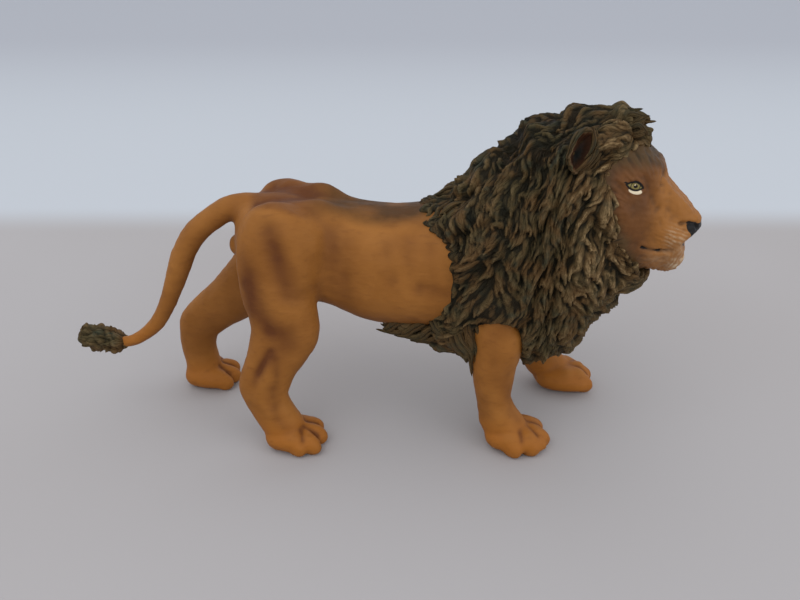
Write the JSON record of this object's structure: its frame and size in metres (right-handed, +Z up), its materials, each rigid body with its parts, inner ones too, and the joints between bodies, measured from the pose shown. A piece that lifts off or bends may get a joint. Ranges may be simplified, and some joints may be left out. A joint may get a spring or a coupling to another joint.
{
  "type": "toy lion figure",
  "caption": "Walking male lion toy figure with a full mane, turned head, stepping legs and a drooping tufted tail, standing free on flat soles.",
  "frame": {"origin": "middle of the figure's box, on the surface that it stands on", "axes": "+X toward the nose, +Y to the lion's left, +Z up"},
  "size_m": [0.1412, 0.04, 0.0785],
  "materials": {
    "coat_paint": "ochre paint with soft brown shading sprayed into the hollows",
    "mane_paint": "near-black brown paint, ridges brushed dry with lighter brown",
    "face_paint": "red-brown paint with a pale brushed muzzle and painted eyes",
    "ear_paint": "dark brown paint, redder inside the cup"
  },
  "bodies": {
    "root": {"torso": "coat_paint", "right_hind_leg": "coat_paint", "left_hind_leg": "coat_paint", "right_foreleg": "coat_paint", "left_foreleg": "coat_paint", "tail": "coat_paint", "tail_tuft": "mane_paint", "mane_right_half": "mane_paint", "mane_left_half": "mane_paint", "head": "face_paint", "right_ear": "ear_paint", "left_ear": "ear_paint"}
  },
  "joints": []
}
